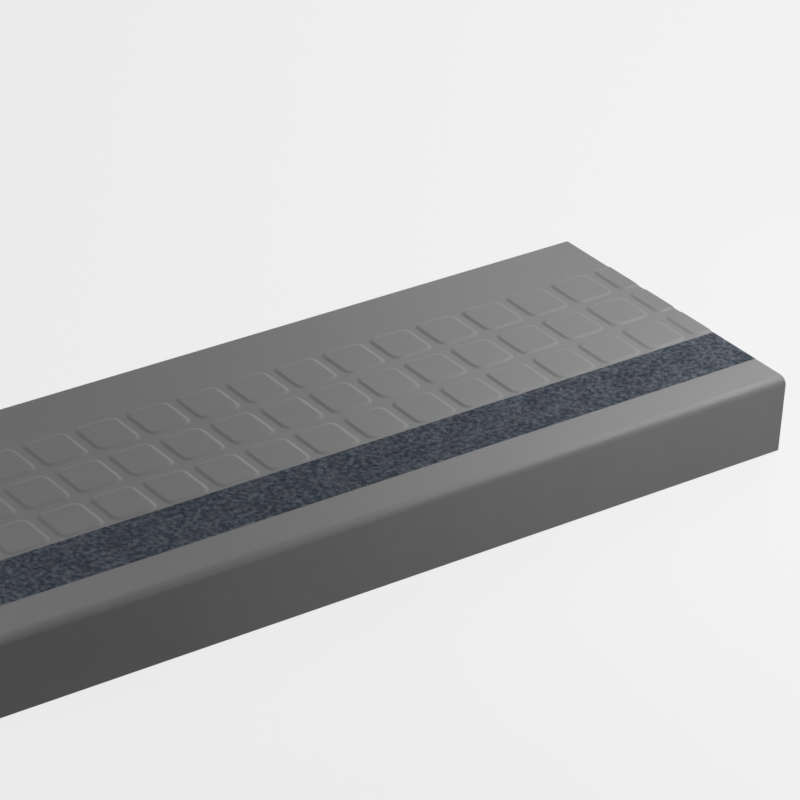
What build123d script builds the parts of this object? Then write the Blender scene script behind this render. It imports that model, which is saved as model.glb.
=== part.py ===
from build123d import *
from math import acos, atan2, cos, degrees, hypot, sin
import os

os.makedirs("parts", exist_ok=True)

# Millimetres, +Z up. The tread runs along X and its nose points to -Y.
# It is drawn as fitted on a step: y counts back from the nose, z = 0 is the walking face.
# The whole of it is then tilted so that it lies unheld on the floor, on two edges.

# Tread
length = 914.4
depth = 304.8
nose_thickness = 5.3
back_thickness = 3.2
nose_radius = 7.5
back_edge_radius = 0.8

# Flap that hangs down in front of the step
flap_height = 72.4
flap_top_thickness = 5.3
flap_tip_thickness = 3.2
flap_tip_radius = 0.8
inner_corner_radius = 1.5

# Raised squares in three rows behind the grit strip, cut through by both ends
square_pitch = 50.8
square_size = 40.5
square_corner_radius = 6.5
square_relief = 0.9
square_slope_width = 3.4
square_rows = 3
square_columns = 19
square_shift = 1.5

# Grit strip, set in a shallow channel behind the nose
strip_front = 41.3
strip_width = 56.8
strip_to_squares = 3.3
channel_depth = 1.2
strip_thickness = 1.4

# The resting tilt: the flap's inner lower corner and the lower back edge both touch the floor
tip_center_y = flap_tip_thickness - flap_tip_radius
contact_height = flap_height - flap_tip_radius - back_thickness
contact_run = depth - tip_center_y
contact_reach = hypot(contact_height, contact_run)
tilt = acos(-flap_tip_radius / contact_reach) - atan2(contact_run, contact_height)

# Extents of the tilted tread, measured from the corner where the two outer faces would meet
lowest = -(depth * sin(tilt) + back_thickness * cos(tilt))
rearmost = (depth - back_edge_radius) * cos(tilt) - back_edge_radius * sin(tilt) + back_edge_radius
foremost = (
    flap_tip_radius * cos(tilt) - (flap_height - flap_tip_radius) * sin(tilt) - flap_tip_radius
)

# Working planes of the tread as fitted, tilted into the stored pose
face_plane = Plane(
    origin=(0, -(rearmost + foremost) / 2, -lowest),
    x_dir=(1, 0, 0),
    z_dir=(0, sin(tilt), cos(tilt)),
)
profile_plane = Plane(
    origin=face_plane.origin,
    x_dir=face_plane.y_dir,
    z_dir=face_plane.x_dir,
)

square_base = square_size + square_slope_width
square_base_radius = square_corner_radius + square_slope_width / 2
square_taper = degrees(atan2(square_slope_width, square_relief))
strip_middle = strip_front + strip_width / 2
first_row = strip_front + strip_width + strip_to_squares + square_size / 2
rows_middle = first_row + square_pitch * (square_rows - 1) / 2

with BuildPart() as rubber_tread:
    with BuildSketch(profile_plane) as profile:
        with BuildLine():
            Polyline(
                (0, 0),
                (depth, 0),
                (depth, -back_thickness),
                (flap_top_thickness, -nose_thickness),
                (flap_tip_thickness, -flap_height),
                (0, -flap_height),
                close=True,
            )
        make_face()
        fillet(profile.vertices().sort_by_distance((0, 0))[0], nose_radius)
        fillet(profile.vertices().sort_by_distance((depth, 0))[0], back_edge_radius)
        fillet(
            profile.vertices().sort_by_distance((flap_top_thickness, -nose_thickness))[0],
            inner_corner_radius,
        )
        fillet(profile.vertices().sort_by_distance((0, -flap_height))[0], flap_tip_radius)
        fillet(
            profile.vertices().sort_by_distance((flap_tip_thickness, -flap_height))[0],
            flap_tip_radius,
        )
    extrude(amount=length / 2, both=True)

    # Low raised squares with sloping sides
    with BuildSketch(face_plane):
        with Locations((square_shift, rows_middle)):
            with GridLocations(square_pitch, square_pitch, square_columns, square_rows):
                RectangleRounded(square_base, square_base, square_base_radius)
    extrude(amount=square_relief, taper=square_taper)

    # The moulding is cut off square at both ends
    split(bisect_by=Plane.YZ.offset(length / 2), keep=Keep.BOTTOM)
    split(bisect_by=Plane.YZ.offset(-length / 2), keep=Keep.TOP)

    # Channel for the grit strip
    with BuildSketch(face_plane):
        with Locations((0, strip_middle)):
            Rectangle(length, strip_width)
    extrude(amount=-channel_depth, mode=Mode.SUBTRACT)

with BuildPart() as grit_strip:
    with BuildSketch(face_plane.offset(-channel_depth)):
        with Locations((0, strip_middle)):
            Rectangle(length, strip_width)
    extrude(amount=strip_thickness)

rubber_tread.part.label = "rubber_tread"
grit_strip.part.label = "grit_strip"
export_step(rubber_tread.part, "parts/rubber_tread.step")
export_step(grit_strip.part, "parts/grit_strip.step")
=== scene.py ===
from math import acos, atan2, cos, hypot, pi, radians, sin
from random import Random

import bmesh
import bpy
from mathutils import Matrix, Vector


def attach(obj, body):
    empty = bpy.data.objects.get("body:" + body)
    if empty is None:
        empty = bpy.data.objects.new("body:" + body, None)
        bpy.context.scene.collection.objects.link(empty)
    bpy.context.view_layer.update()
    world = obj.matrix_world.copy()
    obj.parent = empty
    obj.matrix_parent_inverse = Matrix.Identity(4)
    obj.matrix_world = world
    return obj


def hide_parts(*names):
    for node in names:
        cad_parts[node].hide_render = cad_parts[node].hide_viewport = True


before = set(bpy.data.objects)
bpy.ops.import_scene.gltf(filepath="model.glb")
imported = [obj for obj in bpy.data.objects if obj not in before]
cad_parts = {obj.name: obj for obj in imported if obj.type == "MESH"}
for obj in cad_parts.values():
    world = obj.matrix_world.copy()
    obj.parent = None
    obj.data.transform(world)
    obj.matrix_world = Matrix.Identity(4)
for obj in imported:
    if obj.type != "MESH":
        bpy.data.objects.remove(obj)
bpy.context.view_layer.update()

# Sizes of the tread, in metres, as in its solids

LENGTH = 0.9144
DEPTH = 0.3048
NOSE_THICKNESS = 0.0053
BACK_THICKNESS = 0.0032
NOSE_RADIUS = 0.0075
BACK_EDGE_RADIUS = 0.0008
FLAP_HEIGHT = 0.0724
FLAP_TOP_THICKNESS = 0.0053
FLAP_TIP_THICKNESS = 0.0032
FLAP_TIP_RADIUS = 0.0008
INNER_CORNER_RADIUS = 0.0015
SQUARE_PITCH = 0.0508
SQUARE_SIZE = 0.0405
SQUARE_CORNER_RADIUS = 0.0065
SQUARE_RELIEF = 0.0009
SQUARE_ROWS = 3
SQUARE_COLUMNS = 19
SQUARE_SHIFT = 0.0015
STRIP_FRONT = 0.0413
STRIP_WIDTH = 0.0568
STRIP_TO_SQUARES = 0.0033
CHANNEL_DEPTH = 0.0012
STRIP_THICKNESS = 0.0014

# The soft side of a square is a smooth curve, so it runs out wider than the solid's flat slope
SOFT_SLOPE_WIDTH = 0.0048

STRIP_BACK = STRIP_FRONT + STRIP_WIDTH
STRIP_TOP = STRIP_THICKNESS - CHANNEL_DEPTH
FIRST_ROW = STRIP_BACK + STRIP_TO_SQUARES + SQUARE_SIZE / 2
ROWS_BACK = FIRST_ROW + SQUARE_PITCH * (SQUARE_ROWS - 0.5)

# The tread as fitted on a step: u runs along its length from the middle, v counts back from
# the nose and w is the height over the walking face. It is stored tilted, so that it lies
# unheld on the flap's lower edge and the back edge, as the solids do.


def resting_pose():
    """The tilt at rest, and the place of the corner where the two outer faces would meet."""
    tip_center = FLAP_TIP_THICKNESS - FLAP_TIP_RADIUS
    tip_depth = FLAP_HEIGHT - FLAP_TIP_RADIUS
    contact_height = tip_depth - BACK_THICKNESS
    contact_run = DEPTH - tip_center
    contact_reach = hypot(contact_height, contact_run)
    tilt = acos(-FLAP_TIP_RADIUS / contact_reach) - atan2(contact_run, contact_height)
    lowest = -(DEPTH * sin(tilt) + BACK_THICKNESS * cos(tilt))
    rearmost = (DEPTH - BACK_EDGE_RADIUS) * cos(tilt) - BACK_EDGE_RADIUS * sin(tilt) + BACK_EDGE_RADIUS
    foremost = FLAP_TIP_RADIUS * cos(tilt) - tip_depth * sin(tilt) - FLAP_TIP_RADIUS
    return tilt, Vector((0.0, -(rearmost + foremost) / 2, -lowest))


TILT, NOSE_CORNER = resting_pose()
ALONG = Vector((1.0, 0.0, 0.0))
BACK = Vector((0.0, cos(TILT), -sin(TILT)))
UP = Vector((0.0, sin(TILT), cos(TILT)))


def placed(u, v, w):
    """A point of the fitted tread, in the row frame."""
    return NOSE_CORNER + ALONG * u + BACK * v + UP * w


def add_object(name, data):
    item = bpy.data.objects.new(name, data)
    bpy.context.scene.collection.objects.link(item)
    return item


# Camera: its turn over the fitted tread, in radians, and how far the back corner of the right
# end lies to the right of the lens, below it and in front of it

VIEW_YAW = 0.671912
VIEW_PITCH = 0.505894
VIEW_ROLL = -0.062792
VIEW_OFFSET = Vector((0.15353315, -0.14624958, 3.76476700))
FOCAL_PX = 4094.542773
PICTURE_PX = 800.0
SENSOR_MM = 36.0
VIEW_REACH = 100.0


def add_camera():
    forward = Vector((
        sin(VIEW_YAW) * cos(VIEW_PITCH),
        cos(VIEW_YAW) * cos(VIEW_PITCH),
        -sin(VIEW_PITCH),
    ))
    level = Vector((cos(VIEW_YAW), -sin(VIEW_YAW), 0.0))
    down = forward.cross(level)
    right = level * cos(VIEW_ROLL) + down * sin(VIEW_ROLL)
    below = down * cos(VIEW_ROLL) - level * sin(VIEW_ROLL)
    spot = -(Matrix((right, below, forward)).transposed() @ VIEW_OFFSET)
    turn = Matrix((ALONG, BACK, UP)).transposed()
    world = Matrix((turn @ right, turn @ -below, turn @ -forward)).transposed().to_4x4()
    # The view was solved with u from the right end and v from the back edge
    world.translation = placed(spot.x + LENGTH / 2, spot.y + DEPTH, spot.z)
    data = bpy.data.cameras.new("view")
    data.sensor_width = SENSOR_MM
    data.lens = FOCAL_PX * SENSOR_MM / PICTURE_PX
    data.clip_end = VIEW_REACH
    camera = add_object("view", data)
    camera.matrix_world = world
    bpy.context.scene.camera = camera


# Rubber tread: the solid's section swept along the length, with soft sided squares

CELL_STEPS = 12
SLOPE_STEPS = 8
SMALL_ARC_STEPS = 4
NOSE_ARC_STEPS = 12
QUARTERS = (0.25, 0.5, 0.75)
THIRDS = (0.33, 0.67, 1.0)
NO_RADIUS = 1e-9
MERGE_DISTANCE = 2e-6
SHARP_DEGREES = 35.0

# A point this far before and after a curve keeps the flat sides flat when they are shaded
LOOP_GAP = 0.0004


def between(start, end, shares):
    """Points at these shares of the way from one point of the section to another."""
    return [
        (start[0] + (end[0] - start[0]) * t, start[1] + (end[1] - start[1]) * t) for t in shares
    ]


def soft_corner(before, corner, after, radius, steps):
    """Points of the arc that rounds a corner of the section between two straight sides."""
    at = Vector(corner)
    one = (Vector(before) - at).normalized()
    two = (Vector(after) - at).normalized()
    half = one.angle(two) / 2
    reach = radius / sin(half)
    middle = at + (one + two).normalized() * reach
    first = at + one * (reach * cos(half)) - middle
    last = at + two * (reach * cos(half)) - middle
    sweep = first.angle(last)
    points = [tuple(middle + first + one * LOOP_GAP)]
    for i in range(steps + 1):
        t = i / steps
        spoke = (first * sin((1 - t) * sweep) + last * sin(t * sweep)) / sin(sweep)
        points.append(tuple(middle + spoke))
    points.append(tuple(middle + last + two * LOOP_GAP))
    return points


def lower_section():
    """The section from the back of the squares round the back edge, the underside, the flap
    and the nose, and through the channel."""
    back_top = (DEPTH, 0.0)
    back_low = (DEPTH, -BACK_THICKNESS)
    inner = (FLAP_TOP_THICKNESS, -NOSE_THICKNESS)
    tip_in = (FLAP_TIP_THICKNESS, -FLAP_HEIGHT)
    tip_out = (0.0, -FLAP_HEIGHT)
    nose = (0.0, 0.0)
    points = between((ROWS_BACK, 0.0), back_top, (0.0, *QUARTERS))
    points += soft_corner(points[-1], back_top, back_low, BACK_EDGE_RADIUS, SMALL_ARC_STEPS)
    points += [back_low]
    points += between(back_low, inner, QUARTERS)
    points += soft_corner(back_low, inner, tip_in, INNER_CORNER_RADIUS, SMALL_ARC_STEPS)
    points += soft_corner(inner, tip_in, tip_out, FLAP_TIP_RADIUS, SMALL_ARC_STEPS)
    points += soft_corner(tip_in, tip_out, nose, FLAP_TIP_RADIUS, SMALL_ARC_STEPS)
    points += between(tip_out, (0.0, -NOSE_RADIUS), QUARTERS)
    points += soft_corner(tip_out, nose, back_top, NOSE_RADIUS, NOSE_ARC_STEPS)
    points += between((NOSE_RADIUS, 0.0), (STRIP_FRONT, 0.0), THIRDS)
    points += [(STRIP_FRONT, -CHANNEL_DEPTH), (STRIP_BACK, -CHANNEL_DEPTH), (STRIP_BACK, 0.0)]
    return points


def rounded_ring(half, radius, steps):
    """Points round a square with round corners, one on each of 8 * steps rays, from the middle
    of the +u side."""
    flat = half - radius
    points = []
    for i in range(8 * steps):
        side, place = divmod(i + steps, 2 * steps)
        t = (place - steps) / steps
        x, y = half, half * t
        if abs(y) > flat:
            # The rays that meet the round corner are spread evenly over its arc
            share = (abs(y) - flat) / radius * pi / 4
            x = flat + radius * cos(share)
            y = (flat + radius * sin(share)) * (1 if t > 0 else -1)
        turn = side * pi / 2
        points.append((x * cos(turn) - y * sin(turn), x * sin(turn) + y * cos(turn)))
    return points


def soft_step(t):
    return t * t * (3 - 2 * t)


def add_cell(mesh, mid_u, mid_v, low_v):
    """One square with soft sides, and the flat rubber round it out to the cell's border."""
    steps = CELL_STEPS // 2
    high_v = mid_v + SQUARE_PITCH / 2
    border = []
    for x, y in rounded_ring(SQUARE_PITCH / 2, NO_RADIUS, steps):
        # The cells of the first row start where the strip ends, so they are a little shorter
        share = (mid_v + y - (mid_v - SQUARE_PITCH / 2)) / SQUARE_PITCH
        v = low_v + share * (high_v - low_v)
        border.append(mesh.verts.new(placed(mid_u + x, v, 0.0)))

    edge = SOFT_SLOPE_WIDTH / 2
    levels = [(edge + LOOP_GAP / 2, 0.0)]
    for i in range(SLOPE_STEPS + 1):
        t = i / SLOPE_STEPS
        levels.append((edge - SOFT_SLOPE_WIDTH * t, soft_step(t)))
    levels.append((-edge - LOOP_GAP, 1.0))
    rings = [border]
    for out, rise in levels:
        ring = rounded_ring(SQUARE_SIZE / 2 + out, SQUARE_CORNER_RADIUS + out, steps)
        height = SQUARE_RELIEF * rise
        rings.append([mesh.verts.new(placed(mid_u + x, mid_v + y, height)) for x, y in ring])

    count = len(border)
    for outer, inner in zip(rings, rings[1:]):
        for i in range(count):
            k = (i + 1) % count
            mesh.faces.new((outer[i], outer[k], inner[k], inner[i]))
    top = rings[-1]
    middle = mesh.verts.new(placed(mid_u, mid_v, SQUARE_RELIEF))
    for i in range(count):
        mesh.faces.new((top[i], top[(i + 1) % count], middle))


def add_sweep(mesh):
    """The section, swept over all columns of squares."""
    section = lower_section()
    start = SQUARE_SHIFT - SQUARE_PITCH * SQUARE_COLUMNS / 2
    columns = [start + SQUARE_PITCH * i / CELL_STEPS for i in range(SQUARE_COLUMNS * CELL_STEPS + 1)]
    loops = [[mesh.verts.new(placed(u, v, w)) for v, w in section] for u in columns]
    for one, two in zip(loops, loops[1:]):
        for i in range(len(section) - 1):
            mesh.faces.new((one[i], one[i + 1], two[i + 1], two[i]))


def add_squares(mesh):
    for row in range(SQUARE_ROWS):
        mid_v = FIRST_ROW + SQUARE_PITCH * row
        low_v = STRIP_BACK if row == 0 else mid_v - SQUARE_PITCH / 2
        for column in range(SQUARE_COLUMNS):
            mid_u = SQUARE_SHIFT + SQUARE_PITCH * (column - (SQUARE_COLUMNS - 1) / 2)
            add_cell(mesh, mid_u, mid_v, low_v)


def cut_ends(mesh):
    """Cuts the tread to its length, through the outer columns of squares, and closes it."""
    for side in (1.0, -1.0):
        cut = bmesh.ops.bisect_plane(
            mesh,
            geom=mesh.verts[:] + mesh.edges[:] + mesh.faces[:],
            plane_co=(side * LENGTH / 2, 0.0, 0.0),
            plane_no=(side, 0.0, 0.0),
            clear_outer=True,
        )
        rim = [e for e in cut["geom_cut"] if isinstance(e, bmesh.types.BMEdge)]
        bmesh.ops.holes_fill(mesh, edges=rim, sides=0)


def add_rubber_tread(material):
    mesh = bmesh.new()
    add_sweep(mesh)
    add_squares(mesh)
    bmesh.ops.remove_doubles(mesh, verts=mesh.verts, dist=MERGE_DISTANCE)
    cut_ends(mesh)
    bmesh.ops.recalc_face_normals(mesh, faces=mesh.faces)
    data = bpy.data.meshes.new("moulded_tread")
    mesh.to_mesh(data)
    mesh.free()
    for polygon in data.polygons:
        polygon.use_smooth = True
    data.set_sharp_from_angle(angle=radians(SHARP_DEGREES))
    data.materials.append(material)
    piece = add_object("moulded_tread", data)
    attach(piece, "root")
    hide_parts("rubber_tread")


# Grit strip: a resin bed with separate grains standing out of it. They stand on a jittered
# grid, in which a share of the places stays empty.

GRIT_SEED = 20
BED_STEP = 0.004
BED_EDGE = 0.0002
BED_EDGE_DROP = 0.00015
BED_SAG = 0.00004
GRAIN_SPACING = 0.00112
GRAIN_MARGIN = 0.0004
GRAIN_GAPS = 0.06
GRAIN_SINK = 0.00008
GRAIN_SIZES = (0.00045, 0.00085)
GRAIN_HEIGHTS = (0.00018, 0.00050)

# A grain's irregularity: the turn of a corner in radians, and shares of the grain's size
GRAIN_TWIST = 0.3
GRAIN_REACHES = (0.85, 1.35)
GRAIN_LEAN = 0.2


def add_bed(chance, verts, faces, tones):
    """A slab of resin with a slightly uneven top."""
    across = int(STRIP_WIDTH / BED_STEP)
    along = int(LENGTH / BED_STEP)
    section = [(STRIP_FRONT, -CHANNEL_DEPTH), (STRIP_FRONT, STRIP_TOP - BED_EDGE_DROP)]
    for i in range(across + 1):
        v = STRIP_FRONT + BED_EDGE + (STRIP_WIDTH - 2 * BED_EDGE) * i / across
        section.append((v, STRIP_TOP))
    section += [(STRIP_BACK, STRIP_TOP - BED_EDGE_DROP), (STRIP_BACK, -CHANNEL_DEPTH)]
    for i in range(along + 1):
        u = -LENGTH / 2 + LENGTH * i / along
        for v, w in section:
            sag = chance.uniform(-BED_SAG, 0.0) if w > 0 else 0.0
            verts.append(placed(u, v, w + sag))
            tones.append(0.0)
    wide = len(section)
    for i in range(along):
        for k in range(wide):
            a = i * wide + k
            b = i * wide + (k + 1) % wide
            faces.append((a, a + wide, b + wide, b))
    faces.append(tuple(range(wide)))
    faces.append(tuple(along * wide + k for k in reversed(range(wide))))


def add_grain(chance, u, v, verts, faces, tones):
    """An irregular three sided point, closed below."""
    size = chance.uniform(*GRAIN_SIZES)
    height = chance.uniform(*GRAIN_HEIGHTS)
    turn = chance.uniform(0.0, 2 * pi / 3)
    tone = chance.random()
    first = len(verts)
    for k in range(3):
        angle = turn + k * 2 * pi / 3 + chance.uniform(-GRAIN_TWIST, GRAIN_TWIST)
        reach = size * chance.uniform(*GRAIN_REACHES)
        verts.append(placed(
            max(-LENGTH / 2, min(LENGTH / 2, u + reach * cos(angle))),
            max(STRIP_FRONT, min(STRIP_BACK, v + reach * sin(angle))),
            STRIP_TOP - GRAIN_SINK,
        ))
    tip_u = u + chance.uniform(-GRAIN_LEAN, GRAIN_LEAN) * size
    tip_v = v + chance.uniform(-GRAIN_LEAN, GRAIN_LEAN) * size
    verts.append(placed(tip_u, tip_v, STRIP_TOP + height))
    tones.extend([tone] * 4)
    faces.append((first + 2, first + 1, first))
    for k in range(3):
        faces.append((first + k, first + (k + 1) % 3, first + 3))


def add_grit_strip(material):
    chance = Random(GRIT_SEED)
    verts = []
    faces = []
    tones = []
    add_bed(chance, verts, faces, tones)
    rows = int((STRIP_WIDTH - 2 * GRAIN_MARGIN) / GRAIN_SPACING)
    places = int((LENGTH - 2 * GRAIN_MARGIN) / GRAIN_SPACING)
    for row in range(rows):
        for place in range(places):
            if chance.random() < GRAIN_GAPS:
                continue
            u = -LENGTH / 2 + GRAIN_MARGIN + (place + chance.random()) * GRAIN_SPACING
            v = STRIP_FRONT + GRAIN_MARGIN + (row + chance.random()) * GRAIN_SPACING
            add_grain(chance, u, v, verts, faces, tones)
    data = bpy.data.meshes.new("abrasive_strip")
    data.from_pydata(verts, [], faces)
    tone = data.attributes.new("tone", "FLOAT", "POINT")
    tone.data.foreach_set("value", tones)
    data.materials.append(material)
    piece = add_object("abrasive_strip", data)
    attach(piece, "root")
    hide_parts("grit_strip")


# Materials

# Most of a noise lies between these values
NOISE_RANGE = (0.3, 0.7)


def new_material(name):
    material = bpy.data.materials.new(name)
    material.use_nodes = True
    tree = material.node_tree
    return material, tree, tree.nodes["Principled BSDF"]


def tread_space(tree):
    """Object coordinates turned to run along, across and out of the walking face."""
    place = tree.nodes.new("ShaderNodeTexCoord")
    turn = tree.nodes.new("ShaderNodeMapping")
    turn.inputs["Rotation"].default_value = (TILT, 0.0, 0.0)
    tree.links.new(place.outputs["Object"], turn.inputs["Vector"])
    return turn.outputs["Vector"]


def noise(tree, space, scale, detail, roughness=0.5):
    texture = tree.nodes.new("ShaderNodeTexNoise")
    texture.inputs["Scale"].default_value = scale
    texture.inputs["Detail"].default_value = detail
    texture.inputs["Roughness"].default_value = roughness
    tree.links.new(space, texture.inputs["Vector"])
    return texture.outputs["Fac"]


def remap(tree, value, low, high, to_low, to_high):
    node = tree.nodes.new("ShaderNodeMapRange")
    node.inputs["From Min"].default_value = low
    node.inputs["From Max"].default_value = high
    node.inputs["To Min"].default_value = to_low
    node.inputs["To Max"].default_value = to_high
    tree.links.new(value, node.inputs["Value"])
    return node.outputs["Result"]


def swing(tree, texture, amount, middle=0.0):
    """A noise, turned into a value that goes this amount to either side of its middle."""
    low, high = NOISE_RANGE
    return remap(tree, texture, low, high, middle - amount, middle + amount)


def combined(tree, kind, one, two):
    node = tree.nodes.new("ShaderNodeMath")
    node.operation = kind
    for socket, value in zip(node.inputs, (one, two)):
        if isinstance(value, float):
            socket.default_value = value
        else:
            tree.links.new(value, socket)
    return node.outputs["Value"]


def added(tree, total, *others):
    for value in others:
        total = combined(tree, "ADD", total, value)
    return total


def tinted(tree, color, tint, share):
    """The color multiplied by a tint, as far as share says."""
    node = tree.nodes.new("ShaderNodeMix")
    node.data_type = "RGBA"
    node.blend_type = "MULTIPLY"
    sockets = [socket for socket in node.inputs if socket.enabled]
    tree.links.new(share, sockets[0])
    tree.links.new(color, sockets[1])
    sockets[2].default_value = tint
    return next(socket for socket in node.outputs if socket.enabled)


def bump(tree, height, distance, normal=None):
    node = tree.nodes.new("ShaderNodeBump")
    node.inputs["Distance"].default_value = distance
    tree.links.new(height, node.inputs["Height"])
    if normal is not None:
        tree.links.new(normal, node.inputs["Normal"])
    return node.outputs["Normal"]


# Rubber: its grey, how far each noise moves the shade and the roughness, and how high the
# waves and the grain of its surface are

RUBBER_GREY = (0.215, 0.215, 0.217)
RUBBER_ROUGHNESS = 0.42
RUBBER_SPECULAR = 0.4
CLOUD_SHADE = 0.03
MOTTLE_SHADE = 0.025
GRAIN_SHADE = 0.04
SPECK_SHADE = 0.10
SPECK_RANGE = (0.70, 0.80)
MOTTLE_ROUGHNESS = 0.04
CLOUD_ROUGHNESS = 0.03
WAVE_HEIGHT = 0.0006
RUBBER_GRAIN_HEIGHT = 0.00005


def rubber_material():
    """Grey moulded rubber: satin, slightly cloudy, with a fine grain and dust held in it."""
    material, tree, shader = new_material("rubber")
    space = tread_space(tree)
    cloud = noise(tree, space, scale=9.0, detail=3.0)
    mottle = noise(tree, space, scale=70.0, detail=3.0, roughness=0.6)
    grain = noise(tree, space, scale=1400.0, detail=2.0)
    specks = noise(tree, space, scale=520.0, detail=1.0)
    waves = noise(tree, space, scale=14.0, detail=2.0)

    shade = added(
        tree,
        swing(tree, cloud, CLOUD_SHADE),
        swing(tree, mottle, MOTTLE_SHADE),
        swing(tree, grain, GRAIN_SHADE),
        remap(tree, specks, *SPECK_RANGE, 0.0, SPECK_SHADE),
    )
    level = combined(tree, "ADD", 1.0, shade)
    color = tree.nodes.new("ShaderNodeCombineColor")
    for channel, grey in zip(("Red", "Green", "Blue"), RUBBER_GREY):
        tree.links.new(combined(tree, "MULTIPLY", level, grey), color.inputs[channel])
    tree.links.new(color.outputs["Color"], shader.inputs["Base Color"])

    rough = added(
        tree,
        swing(tree, mottle, MOTTLE_ROUGHNESS),
        swing(tree, cloud, CLOUD_ROUGHNESS, RUBBER_ROUGHNESS),
    )
    tree.links.new(rough, shader.inputs["Roughness"])
    shader.inputs["Specular IOR Level"].default_value = RUBBER_SPECULAR

    normal = bump(tree, waves, WAVE_HEIGHT)
    normal = bump(tree, grain, RUBBER_GRAIN_HEIGHT, normal)
    tree.links.new(normal, shader.inputs["Normal"])
    return material


# Grit: the colours from its darkest to its palest grains, and how far each noise moves the
# tone. The palest grains are the smoothest.

GRIT_TONES = (
    (0.00, (0.016, 0.025, 0.038, 1.0)),
    (0.30, (0.060, 0.077, 0.105, 1.0)),
    (0.55, (0.138, 0.161, 0.195, 1.0)),
    (0.80, (0.237, 0.258, 0.286, 1.0)),
    (1.00, (0.325, 0.340, 0.358, 1.0)),
)
GRIT_TINT = (1.0, 0.87, 0.89, 1.0)
TINT_RANGE = (0.45, 0.62)
TONE_RANGE = (0.38, 0.58)
CLUSTER_TONE = 0.21
WORN_TONE = 0.06
DUST_TONE = 0.05
GRIT_ROUGHNESS = (0.62, 0.38)
GRIT_SPECULAR = 0.08
DUST_HEIGHT = 0.00008


def grit_material():
    """Crushed mineral in dark blue resin. Every grain has its own tone, and the tones lie in
    loose clusters."""
    material, tree, shader = new_material("grit")
    space = tread_space(tree)
    tone = tree.nodes.new("ShaderNodeAttribute")
    tone.attribute_name = "tone"
    clusters = noise(tree, space, scale=230.0, detail=1.0)
    worn = noise(tree, space, scale=30.0, detail=2.0)
    dust = noise(tree, space, scale=1500.0, detail=2.0)
    patches = noise(tree, space, scale=55.0, detail=2.0)

    mixed = added(
        tree,
        remap(tree, tone.outputs["Fac"], 0.0, 1.0, *TONE_RANGE),
        swing(tree, clusters, CLUSTER_TONE),
        swing(tree, worn, WORN_TONE),
        swing(tree, dust, DUST_TONE),
    )
    ramp = tree.nodes.new("ShaderNodeValToRGB")
    stops = ramp.color_ramp.elements
    stops[0].position, stops[0].color = GRIT_TONES[0]
    stops[1].position, stops[1].color = GRIT_TONES[-1]
    for position, color in GRIT_TONES[1:-1]:
        stops.new(position).color = color
    tree.links.new(mixed, ramp.inputs["Fac"])
    share = remap(tree, patches, *TINT_RANGE, 0.0, 1.0)
    color = tinted(tree, ramp.outputs["Color"], GRIT_TINT, share)
    tree.links.new(color, shader.inputs["Base Color"])

    rough = remap(tree, tone.outputs["Fac"], 0.0, 1.0, *GRIT_ROUGHNESS)
    tree.links.new(rough, shader.inputs["Roughness"])
    shader.inputs["Specular IOR Level"].default_value = GRIT_SPECULAR
    tree.links.new(bump(tree, dust, DUST_HEIGHT), shader.inputs["Normal"])
    return material


# Floor and backdrop. The floor bounces less light on the tread than its own look would.

FLOOR_HALF = 12.0
FLOOR_ALBEDO = 0.30
FLOOR_ALBEDO_SEEN = 0.42
FLOOR_ROUGHNESS = 0.9
FLOOR_SPECULAR = 0.1
PAPER_GLOW = 1.15
PAPER_SHARE = 0.68


def looking(tree):
    """1 for what looks at the backdrop straight, in a reflection or through glass, and 0 for
    plain bounced light."""
    ray = tree.nodes.new("ShaderNodeLightPath")
    sees = combined(tree, "MAXIMUM", ray.outputs["Is Camera Ray"], ray.outputs["Is Glossy Ray"])
    return combined(tree, "MAXIMUM", sees, ray.outputs["Is Transmission Ray"])


def floor_material():
    """Pale floor. What looks at it straight or in a reflection sees mostly even paper, with the
    tread's shadow on it."""
    material, tree, shader = new_material("floor")
    seen = looking(tree)
    albedo = remap(tree, seen, 0.0, 1.0, FLOOR_ALBEDO, FLOOR_ALBEDO_SEEN)
    tree.links.new(albedo, shader.inputs["Base Color"])
    shader.inputs["Roughness"].default_value = FLOOR_ROUGHNESS
    shader.inputs["Specular IOR Level"].default_value = FLOOR_SPECULAR
    paper = tree.nodes.new("ShaderNodeEmission")
    paper.inputs["Color"].default_value = (PAPER_GLOW, PAPER_GLOW, PAPER_GLOW, 1.0)
    mix = tree.nodes.new("ShaderNodeMixShader")
    tree.links.new(combined(tree, "MULTIPLY", seen, PAPER_SHARE), mix.inputs["Fac"])
    tree.links.new(shader.outputs["BSDF"], mix.inputs[1])
    tree.links.new(paper.outputs["Emission"], mix.inputs[2])
    tree.links.new(mix.outputs["Shader"], tree.nodes["Material Output"].inputs["Surface"])
    return material


def add_floor():
    corners = [(-1.0, -1.0), (1.0, -1.0), (1.0, 1.0), (-1.0, 1.0)]
    mesh = bpy.data.meshes.new("floor")
    mesh.from_pydata([(FLOOR_HALF * x, FLOOR_HALF * y, 0.0) for x, y in corners], [], [(0, 1, 2, 3)])
    mesh.materials.append(floor_material())
    floor = add_object("floor", mesh)


# Light

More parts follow.
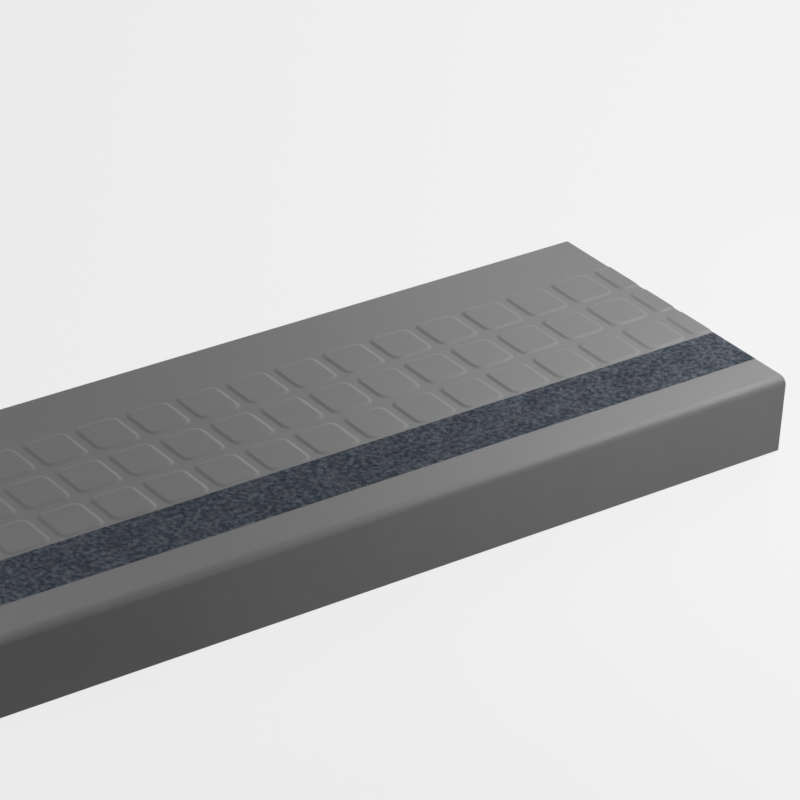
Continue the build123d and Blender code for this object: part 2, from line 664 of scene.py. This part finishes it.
# Soft boxes: place over the tread as u, v and w, then the box's side in metres, its spread in
# degrees and its watts. All of them are aimed at the lit spot.
SOFT_BOXES = {
    "side": ((1.75, 0.50, 0.40), 0.8, 90.0, 1.35),
    "key": ((1.10, 0.40, 0.85), 0.35, 180.0, 2.6),
    "sheen": ((1.09, 0.81, 0.96), 0.5, 180.0, 1.8),
    "low": ((1.09, 1.27, 0.31), 0.35, 180.0, 0.38),
    "nose": ((0.75, -0.15, 0.50), 0.3, 180.0, 1.5),
    "near": ((0.50, -0.25, 0.40), 0.3, 180.0, 0.85),
    "far": ((-0.55, 0.02, 0.30), 0.3, 180.0, 0.55),
    "flap": ((0.30, -0.60, 0.10), 0.4, 180.0, 0.57),
}
LIT_SPOT = (0.15, 0.15, 0.0)
AMBIENT = 0.075
BACKDROP = 0.863
WHITE = (1.0, 1.0, 1.0, 1.0)


def add_soft_box(name, place, size, spread, power):
    data = bpy.data.lights.new(name, "AREA")
    data.shape = "SQUARE"
    data.size = size
    data.spread = radians(spread)
    data.energy = power
    light = add_object(name, data)
    spot = placed(*place)
    light.location = spot
    light.rotation_euler = (placed(*LIT_SPOT) - spot).to_track_quat("-Z", "Y").to_euler()
    light.visible_camera = False


def add_light():
    """A dim even world that is seen as a pale backdrop, and the soft boxes."""
    world = bpy.data.worlds.new("studio")
    world.use_nodes = True
    tree = world.node_tree
    dim = tree.nodes["Background"]
    dim.inputs["Strength"].default_value = AMBIENT
    pale = tree.nodes.new("ShaderNodeBackground")
    pale.inputs["Strength"].default_value = BACKDROP
    for background in (dim, pale):
        background.inputs["Color"].default_value = WHITE
    mix = tree.nodes.new("ShaderNodeMixShader")
    tree.links.new(looking(tree), mix.inputs["Fac"])
    tree.links.new(dim.outputs["Background"], mix.inputs[1])
    tree.links.new(pale.outputs["Background"], mix.inputs[2])
    tree.links.new(mix.outputs["Shader"], tree.nodes["World Output"].inputs["Surface"])
    bpy.context.scene.world = world
    for name, (place, size, spread, power) in SOFT_BOXES.items():
        add_soft_box(name, place, size, spread, power)


add_rubber_tread(rubber_material())
add_grit_strip(grit_material())
add_camera()
add_floor()
add_light()
bpy.context.scene.view_settings.view_transform = "Standard"
